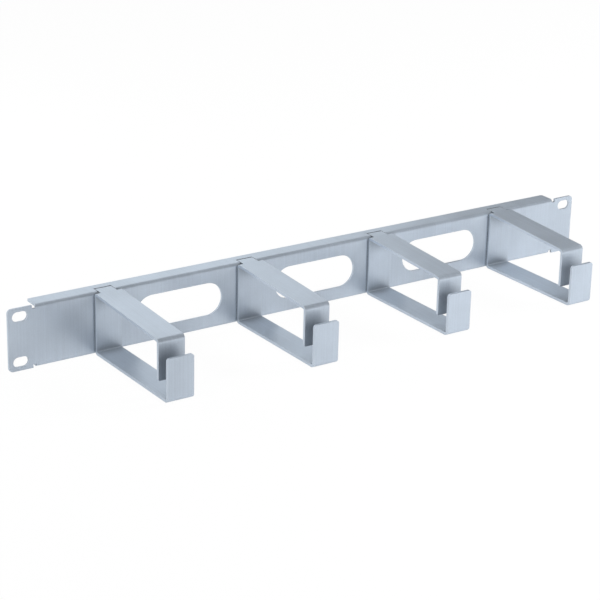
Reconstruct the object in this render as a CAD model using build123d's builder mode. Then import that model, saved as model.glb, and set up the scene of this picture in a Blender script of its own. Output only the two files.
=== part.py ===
"""Horizontal cable manager for a 19-inch rack, one rack unit high.

A folded sheet-steel panel carries four cable rings, each one bent strip.
Millimetres. X runs along the panel, -Y points forward to the rings, +Z is up.
The origin is the centre of the rack hole pattern, on the back of the panel,
where the panel seats against the rack rails.
"""
import os

from build123d import *
from math import radians, tan

# Panel sheet
panel_width = 482.6
panel_height = 44.0
panel_sheet = 1.5
panel_bend = 2.5            # outside radius of the flange bends
flange_depth = 12.8         # front face of the panel to the free edge of a flange
ear_length = 20.3           # end of the panel to the end of a flange
flange_corner = 1.5
relief_width = 2.6          # notch between an ear and the end of a flange
ear_corner = 3.0

# Rack holes, 465.1 mm and 31.75 mm apart as the 19-inch standard sets
hole_inset = 8.75           # end of the panel to the middle of a hole
hole_rise = 31.75
hole_length = 11.0
hole_width = 7.0

# Rings
ring_count = 4
ring_inset = 53.0           # end of a flange to the middle of the nearest ring
ring_width = 19.5
ring_strip = 2.0
ring_bend = 3.0             # outside radius of the ring bends
ring_depth = 96.0           # front face of the panel to the front of the outer lip
outer_lip = 30.5            # height of the lip that stands at the front
outer_lip_corner = 2.0
inner_lip_corner = 1.0
entry_gap = 9.5             # way in for a cable, between the lips and under the inner lip
top_leg_fall = 3.0          # degrees that the top leg drops towards the front

# Tongue at the back of each ring, lying in a notch of the top flange
tongue_width = 12.0
tongue_reach = 5.9          # from the front face of the panel to its end
tongue_side_gap = 0.6
tongue_end_gap = 1.2
tongue_under_gap = 0.3
tongue_root = 6.0           # how far the tongue runs forward into the top leg

# Cable openings between the rings
opening_margin = 22.0       # middle of a ring to the nearest end of an opening
opening_height = 24.0

# Places worked out from the sizes above
front_face = -panel_sheet
top = panel_height / 2
bottom = -panel_height / 2
flange_length = panel_width - 2 * ear_length
hole_span = panel_width - 2 * hole_inset
ring_pitch = (flange_length - 2 * ring_inset) / (ring_count - 1)
opening_length = ring_pitch - 2 * opening_margin
half_strip = ring_strip / 2
ring_front = front_face - ring_depth
inner_lip_front = ring_front + ring_strip + entry_gap
inner_lip_end = bottom + ring_strip + entry_gap
ring_corner_y = front_face - half_strip
ring_corner_z = top - half_strip


def leg_middle(y):
    """Height of the middle of a ring's top leg, at a place along Y."""
    return ring_corner_z - (ring_corner_y - y) * tan(radians(top_leg_fall))


def ring_places():
    """Centres of the rings along X."""
    first = -(ring_count - 1) * ring_pitch / 2
    return [first + number * ring_pitch for number in range(ring_count)]


def make_panel():
    """Folded panel: a flat front with ears, and a flange along each long edge."""
    with BuildPart() as panel:
        # Flat front sheet, cut back by one bend along the two folds
        fold_length = flange_length + 2 * relief_width
        with BuildSketch(Plane.XZ):
            RectangleRounded(panel_width, panel_height, ear_corner)
            with Locations((0, top)):
                Rectangle(fold_length, 2 * panel_bend, mode=Mode.SUBTRACT)
            with Locations((0, bottom)):
                Rectangle(fold_length, 2 * panel_bend, mode=Mode.SUBTRACT)
        extrude(amount=panel_sheet)

        # Front and both flanges in one bent section, drawn by the sheet's middle
        half_sheet = panel_sheet / 2
        flange_edge = front_face + flange_depth
        with BuildSketch(Plane.YZ.offset(-flange_length / 2)):
            with BuildLine():
                FilletPolyline(
                    (flange_edge, top - half_sheet),
                    (front_face + half_sheet, top - half_sheet),
                    (front_face + half_sheet, bottom + half_sheet),
                    (flange_edge, bottom + half_sheet),
                    radius=panel_bend - half_sheet,
                )
            trace(line_width=panel_sheet)
        extrude(amount=flange_length)

        # Corners of the flanges
        flange_ends = panel.edges().filter_by(Axis.Z).group_by(Axis.Y)[-1]
        fillet(flange_ends, radius=flange_corner)

        # Rack holes
        with BuildSketch(Plane.XZ):
            with GridLocations(hole_span, hole_rise, 2, 2):
                SlotOverall(hole_length, hole_width)
        extrude(amount=panel_sheet, mode=Mode.SUBTRACT)

        # Cable openings, one between each pair of rings
        with BuildSketch(Plane.XZ):
            with GridLocations(ring_pitch, 0, ring_count - 1, 1):
                SlotOverall(opening_length, opening_height)
        extrude(amount=panel_sheet, mode=Mode.SUBTRACT)

        # Notches for the tongues, through the bend and into the flange
        notch_width = tongue_width + 2 * tongue_side_gap
        notch_depth = tongue_reach + tongue_end_gap
        notch_height = ring_strip + tongue_under_gap
        with BuildSketch(Plane.XY.offset(top - notch_height)):
            for place in ring_places():
                with Locations((place, front_face + notch_depth / 2)):
                    Rectangle(notch_width, notch_depth)
        extrude(amount=notch_height, mode=Mode.SUBTRACT)
    return panel


def make_ring(place):
    """One cable ring: a strip bent round, with its tongue at the top of the back."""
    with BuildPart() as ring:
        # The middle of the strip runs from the outer lip, under and up the back,
        # along the top leg and down the inner lip
        outer_lip_y = ring_front + half_strip
        inner_lip_y = inner_lip_front + half_strip
        with BuildSketch(Plane.YZ.offset(place - ring_width / 2)):
            with BuildLine():
                FilletPolyline(
                    (outer_lip_y, bottom + outer_lip),
                    (outer_lip_y, bottom + half_strip),
                    (ring_corner_y, bottom + half_strip),
                    (ring_corner_y, ring_corner_z),
                    (inner_lip_y, leg_middle(inner_lip_y)),
                    (inner_lip_y, inner_lip_end),
                    radius=ring_bend - half_strip,
                )
            trace(line_width=ring_strip)
        extrude(amount=ring_width)

        # Corners of the two lips
        lip_corners = ring.edges().filter_by(Axis.Y).group_by(SortBy.LENGTH)[0]
        fillet(lip_corners.group_by(Axis.Y)[0], radius=outer_lip_corner)
        fillet(lip_corners.group_by(Axis.Y)[-1], radius=inner_lip_corner)

        # Tongue, carried on from the top leg across the bend
        root = front_face - tongue_root
        with BuildSketch(Plane.YZ.offset(place - tongue_width / 2)):
            with BuildLine():
                Polyline(
                    (front_face + tongue_reach, ring_corner_z),
                    (ring_corner_y, ring_corner_z),
                    (root, leg_middle(root)),
                )
            trace(line_width=ring_strip)
        extrude(amount=tongue_width)
    return ring


os.makedirs("parts", exist_ok=True)

panel = make_panel()
panel.part.label = "panel"
export_step(panel.part, "parts/panel.step")

for number, place in enumerate(ring_places(), start=1):
    ring = make_ring(place)
    ring.part.label = f"ring_{number}"
    export_step(ring.part, f"parts/ring_{number}.step")
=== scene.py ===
"""Horizontal cable manager: silver-grey painted steel on a plain white floor.

Metres, degrees and watts. -Y points forward to the rings, +Z is up.
"""
from math import radians

import bpy
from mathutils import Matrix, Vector


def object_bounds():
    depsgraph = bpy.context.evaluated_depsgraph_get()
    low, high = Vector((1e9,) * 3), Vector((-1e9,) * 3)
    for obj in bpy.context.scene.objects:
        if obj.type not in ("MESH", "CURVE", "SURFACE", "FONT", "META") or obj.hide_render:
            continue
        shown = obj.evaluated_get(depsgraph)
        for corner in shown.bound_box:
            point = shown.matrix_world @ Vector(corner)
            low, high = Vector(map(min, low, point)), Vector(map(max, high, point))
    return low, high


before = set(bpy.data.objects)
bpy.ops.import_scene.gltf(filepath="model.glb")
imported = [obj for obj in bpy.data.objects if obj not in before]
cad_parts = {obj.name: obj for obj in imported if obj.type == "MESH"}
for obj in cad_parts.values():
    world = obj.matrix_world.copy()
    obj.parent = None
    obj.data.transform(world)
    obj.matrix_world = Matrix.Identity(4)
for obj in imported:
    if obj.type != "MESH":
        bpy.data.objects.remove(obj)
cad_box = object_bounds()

# Camera, from the perspective of the photograph
camera_place = (-0.75337, -1.08088, 0.4859)
camera_turn = (69.0416, -1.3067, -33.973)
camera_lens = 117.819
camera_sensor = 36.0

# Floor and surroundings
white = (1.0, 1.0, 1.0, 1.0)
floor_height = cad_box[0].z
floor_reach = 40.0
floor_colour = (0.86, 0.86, 0.86, 1.0)
floor_glow = 0.97           # share of plain white where the camera sees the floor
floor_mirrored = 0.65       # the same where gloss or glass shows the floor
world_light = 0.3

# Dark upright cards in front and on the right, that the bends and the tops reflect
front_card = [(-0.3, -1.6, 0.2), (1.4, -1.6, 0.2), (1.4, -1.6, 4.5), (-0.3, -1.6, 4.5)]
right_card = [(1.4, -1.6, 0.2), (1.4, 2.0, 0.2), (1.4, 1.6, 1.0), (1.4, 1.6, 4.5), (1.4, -1.6, 4.5)]
card_grey = (0.04, 0.04, 0.04, 1.0)

# Colours and gloss of the paint
paint_light = (0.541, 0.611, 0.701, 1.0)
paint_dark = (0.425, 0.480, 0.551, 1.0)
glance_tint = (0.82, 0.93, 1.0, 1.0)
# painted highlight: the colour the edges are lightened towards
highlight_tint = (0.590, 0.637, 0.695, 1.0)
# painted shade: the colour that gaps and hollows are darkened towards
painted_shade_tint = (0.120, 0.133, 0.150, 1.0)
metal_share = 0.55
lacquer_share = 0.1
lacquer_roughness = 0.25
gloss_span = (0.31, 0.37)       # roughness where the paint is dark, and where it is light

# Patterns of the paint: scales in waves a metre, and shares in the colour
flake_scale = 4000.0
flake_share = 0.3
cloud_scale = 28.0
cloud_detail = 3.0
marks_scale = (850.0, 12.0, 12.0)
marks_share = 0.6
peel_scale = 520.0
fine_detail = 2.0
pattern_span = (0.55, 1.35)     # sum of the patterns where the paint is darkest and lightest

# Bumps of the paint
grain_strength = 0.25
peel_strength = 0.5
bump_height = 0.00006

# Painted shade in the gaps and hollows: how near the faces round a place must stand, how open the place
# is where the dark begins and where it is full, and how far it goes towards the shade tint
crevice_reach = 0.0025
crevice_span = (0.85, 0.45)
crevice_share = 0.75
hollow_reach = 0.012
hollow_span = (0.95, 0.5)
hollow_share = 0.65
occlusion_samples = 8
floor_margin = (0.0016, 0.0026) # heights over the floor between which the painted gap shade fades in

# Edges: radius of the painted edge highlight over thin paint, and of the edge itself
highlight_radius = 0.0006
highlight_samples = 4
highlight_span = (0.99, 0.75)        # cosine between the face and the rounded edge, from no painted highlight to full
edge_radius = 0.00025
edge_samples = 6

# Lamps: name, place, point it faces, width, height, watts
lamps = [
    ("front", (0.16, -0.48, 0.12), (0.10, -0.02, 0.0), 0.55, 0.2, 1.25),
    ("left_high", (-1.50, -0.20, 1.00), (0.0, -0.04, 0.0), 0.6, 0.6, 15.5),
    ("right_high", (1.10, -0.20, 0.70), (0.0, -0.04, 0.0), 0.4, 0.4, 17.8),
    ("back_left", (-0.40, 0.65, 0.25), (-0.1, 0.0, 0.0), 0.5, 0.3, 3.4),
]


def set_input(tree, socket, value):
    """Give an input a fixed value, or link it to the output of another node."""
    if isinstance(value, bpy.types.NodeSocket):
        tree.links.new(value, socket)
    else:
        socket.default_value = value


def add(tree, kind, **inputs):
    """A shader node with its inputs set or linked by name."""
    node = tree.nodes.new(kind)
    for name, value in inputs.items():
        set_input(tree, node.inputs[name.replace("_", " ")], value)
    return node


def combine(tree, operation, *terms):
    """A number worked out from numbers and outputs of other nodes."""
    node = tree.nodes.new("ShaderNodeMath")
    node.operation = operation
    for socket, term in zip(node.inputs, terms):
        set_input(tree, socket, term)
    return node.outputs["Value"]


def fade(tree, value, start, end, low=0.0, high=1.0):
    """A number that goes from low to high while the value goes from start to end."""
    node = add(tree, "ShaderNodeMapRange", Value=value, From_Min=start, From_Max=end, To_Min=low, To_Max=high)
    return node.outputs["Result"]


def blend(tree, share, first, second):
    """A colour between two others, nearer to the second as the share grows."""
    node = tree.nodes.new("ShaderNodeMix")
    node.data_type = "RGBA"
    for name, value in (("Factor", share), ("A", first), ("B", second)):
        set_input(tree, node.inputs[name], value)
    return node.outputs["Result"]


def noise(tree, place, scale, detail):
    """Soft noise over the object."""
    node = add(tree, "ShaderNodeTexNoise", Vector=place, Scale=scale, Detail=detail)
    return node.outputs["Fac"]


def openness(tree, reach, own_faces_only):
    """1 on an open face, and less where other faces stand round it within reach."""
    node = add(tree, "ShaderNodeAmbientOcclusion", Distance=reach)
    node.samples = occlusion_samples
    node.only_local = own_faces_only
    return node.outputs["AO"]


def rounded_normal(tree, radius, samples):
    """The normal of the surface with its edges rounded."""
    node = add(tree, "ShaderNodeBevel", Radius=radius)
    node.samples = samples
    return node.outputs["Normal"]


def painted_steel():
    """Silver-grey metallic paint with rolling marks, painted shade in the hollows and painted highlights on
    the edges.
    """
    material = bpy.data.materials.new("silver_paint")
    material.use_nodes = True
    tree = material.node_tree
    place = tree.nodes.new("ShaderNodeTexCoord").outputs["Object"]

    # Metal flake in the paint, a quarter of a millimetre across
    flake = add(tree, "ShaderNodeTexVoronoi", Vector=place, Scale=flake_scale)
    speckle = add(tree, "ShaderNodeSeparateColor", Color=flake.outputs["Color"])

    # Slow unevenness of the coat
    cloud = noise(tree, place, cloud_scale, cloud_detail)

    # Rolling marks of the sheet, up the panel and along each ring's strip
    stretched = add(tree, "ShaderNodeMapping", Vector=place, Scale=marks_scale)
    marks = noise(tree, stretched.outputs["Vector"], 1.0, fine_detail)

    speckled = combine(tree, "MULTIPLY_ADD", speckle.outputs["Red"], flake_share, cloud)
    streaked = combine(tree, "MULTIPLY_ADD", marks, marks_share, speckled)
    level = fade(tree, streaked, *pattern_span)
    coat = blend(tree, level, paint_dark, paint_light)

    # Painted shade darkens the inner corners and the gaps round the tongues
    crevice = fade(tree, openness(tree, crevice_reach, False), *crevice_span, high=crevice_share)
    height = add(tree, "ShaderNodeSeparateXYZ", Vector=place).outputs["Z"]
    raised = fade(tree, height, *[floor_height + margin for margin in floor_margin])
    gap_shade = combine(tree, "MULTIPLY", crevice, raised)

    # Painted shade darkens the hollows of the rings' bends too, over a wider strip
    shade = fade(tree, openness(tree, hollow_reach, True), *hollow_span, high=hollow_share)
    shaded_coat = blend(tree, combine(tree, "MAXIMUM", gap_shade, shade), coat, painted_shade_tint)

    # Painted highlight on the edges, where the coat is also thin
    facing = tree.nodes.new("ShaderNodeVectorMath")
    facing.operation = "DOT_PRODUCT"
    set_input(tree, facing.inputs[0], rounded_normal(tree, highlight_radius, highlight_samples))
    set_input(tree, facing.inputs[1], tree.nodes.new("ShaderNodeNewGeometry").outputs["Normal"])
    edge_highlight = fade(tree, facing.outputs["Value"], *highlight_span)

    # Flake and orange peel, about two millimetres across, over edges broken slightly
    edges = rounded_normal(tree, edge_radius, edge_samples)
    grain = add(tree, "ShaderNodeBump", Strength=grain_strength, Distance=bump_height,
                Height=speckle.outputs["Green"], Normal=edges)
    peel = noise(tree, place, peel_scale, fine_detail)
    bump = add(tree, "ShaderNodeBump", Strength=peel_strength, Distance=bump_height,
               Height=peel, Normal=grain.outputs["Normal"])

    finish = {
        "Base Color": blend(tree, edge_highlight, shaded_coat, highlight_tint),
        "Metallic": metal_share,
        "Roughness": fade(tree, level, 0.0, 1.0, *gloss_span),
        "Specular Tint": glance_tint,
        "Coat Weight": lacquer_share,
        "Coat Roughness": lacquer_roughness,
        "Normal": bump.outputs["Normal"],
    }
    for name, value in finish.items():
        set_input(tree, tree.nodes["Principled BSDF"].inputs[name], value)
    return material


def seen_directly(tree, direct=1.0, mirrored=1.0):
    """One share for camera rays, another for glossy and transmission rays, otherwise 0."""
    path = tree.nodes.new("ShaderNodeLightPath").outputs
    either = combine(tree, "MAXIMUM", path["Is Glossy Ray"], path["Is Transmission Ray"])
    whole = combine(tree, "MULTIPLY", path["Is Camera Ray"], direct)
    part = combine(tree, "MULTIPLY", either, mirrored)
    return combine(tree, "MAXIMUM", whole, part)


def bare_material(name):
    """A material that has no nodes yet."""
    material = bpy.data.materials.new(name)
    material.use_nodes = True
    material.node_tree.nodes.clear()
    return material


def white_floor():
    """A wide floor that shows white and keeps the object's shadow."""
    mesh = bpy.data.meshes.new("floor")
    r = floor_reach
    corners = [(-r, -r, 0.0), (r, -r, 0.0), (r, r, 0.0), (-r, r, 0.0)]
    mesh.from_pydata(corners, [], [range(len(corners))])
    floor = bpy.data.objects.new("floor", mesh)
    floor.location.z = floor_height
    bpy.context.scene.collection.objects.link(floor)

    material = bare_material("floor_white")
    tree = material.node_tree
    matt = add(tree, "ShaderNodeBsdfDiffuse", Color=floor_colour)
    glow = add(tree, "ShaderNodeEmission", Color=white, Strength=1.0)
    mix = add(tree, "ShaderNodeMixShader", Fac=seen_directly(tree, floor_glow, floor_mirrored))
    set_input(tree, mix.inputs[1], matt.outputs["BSDF"])
    set_input(tree, mix.inputs[2], glow.outputs["Emission"])
    add(tree, "ShaderNodeOutputMaterial", Surface=mix.outputs["Shader"])
    mesh.materials.append(material)


def dark_card(name, corners):
    """Upright dark card beside the object, not seen by the camera."""
    mesh = bpy.data.meshes.new(name)
    mesh.from_pydata(corners, [], [range(len(corners))])
    card = bpy.data.objects.new(name, mesh)
    card.visible_camera = False
    bpy.context.scene.collection.objects.link(card)

    material = bare_material("card_grey")
    matt = add(material.node_tree, "ShaderNodeBsdfDiffuse", Color=card_grey)
    add(material.node_tree, "ShaderNodeOutputMaterial", Surface=matt.outputs["BSDF"])
    mesh.materials.append(material)


def white_world():
    """White where it is seen, and a soft even light elsewhere."""
    world = bpy.data.worlds.new("studio")
    bpy.context.scene.world = world
    world.use_nodes = True
    tree = world.node_tree
    background = tree.nodes["Background"]
    set_input(tree, background.inputs["Color"], white)
    strength = fade(tree, seen_directly(tree), 0.0, 1.0, low=world_light)
    set_input(tree, background.inputs["Strength"], strength)


def soft_lamp(name, place, target, width, height, watts):
    """A rectangular soft light that faces a point and shows in no reflection."""
    lamp = bpy.data.lights.new(name, "AREA")
    lamp.shape = "RECTANGLE"
    lamp.size = width
    lamp.size_y = height
    lamp.energy = watts
    holder = bpy.data.objects.new(name, lamp)
    holder.location = place
    aim = Vector(target) - Vector(place)
    holder.rotation_euler = aim.to_track_quat("-Z", "Y").to_euler()
    holder.visible_camera = False
    holder.visible_glossy = False
    bpy.context.scene.collection.objects.link(holder)


paint = painted_steel()
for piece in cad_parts.values():
    piece.data.materials.clear()
    piece.data.materials.append(paint)

white_floor()
dark_card("front_card", front_card)
dark_card("right_card", right_card)
white_world()
for lamp in lamps:
    soft_lamp(*lamp)

camera_data = bpy.data.cameras.new("camera")
camera_data.sensor_width = camera_sensor
camera_data.lens = camera_lens
camera = bpy.data.objects.new("camera", camera_data)
camera.location = camera_place
camera.rotation_euler = [radians(angle) for angle in camera_turn]
bpy.context.scene.collection.objects.link(camera)
bpy.context.scene.camera = camera
bpy.context.scene.view_settings.view_transform = "Standard"
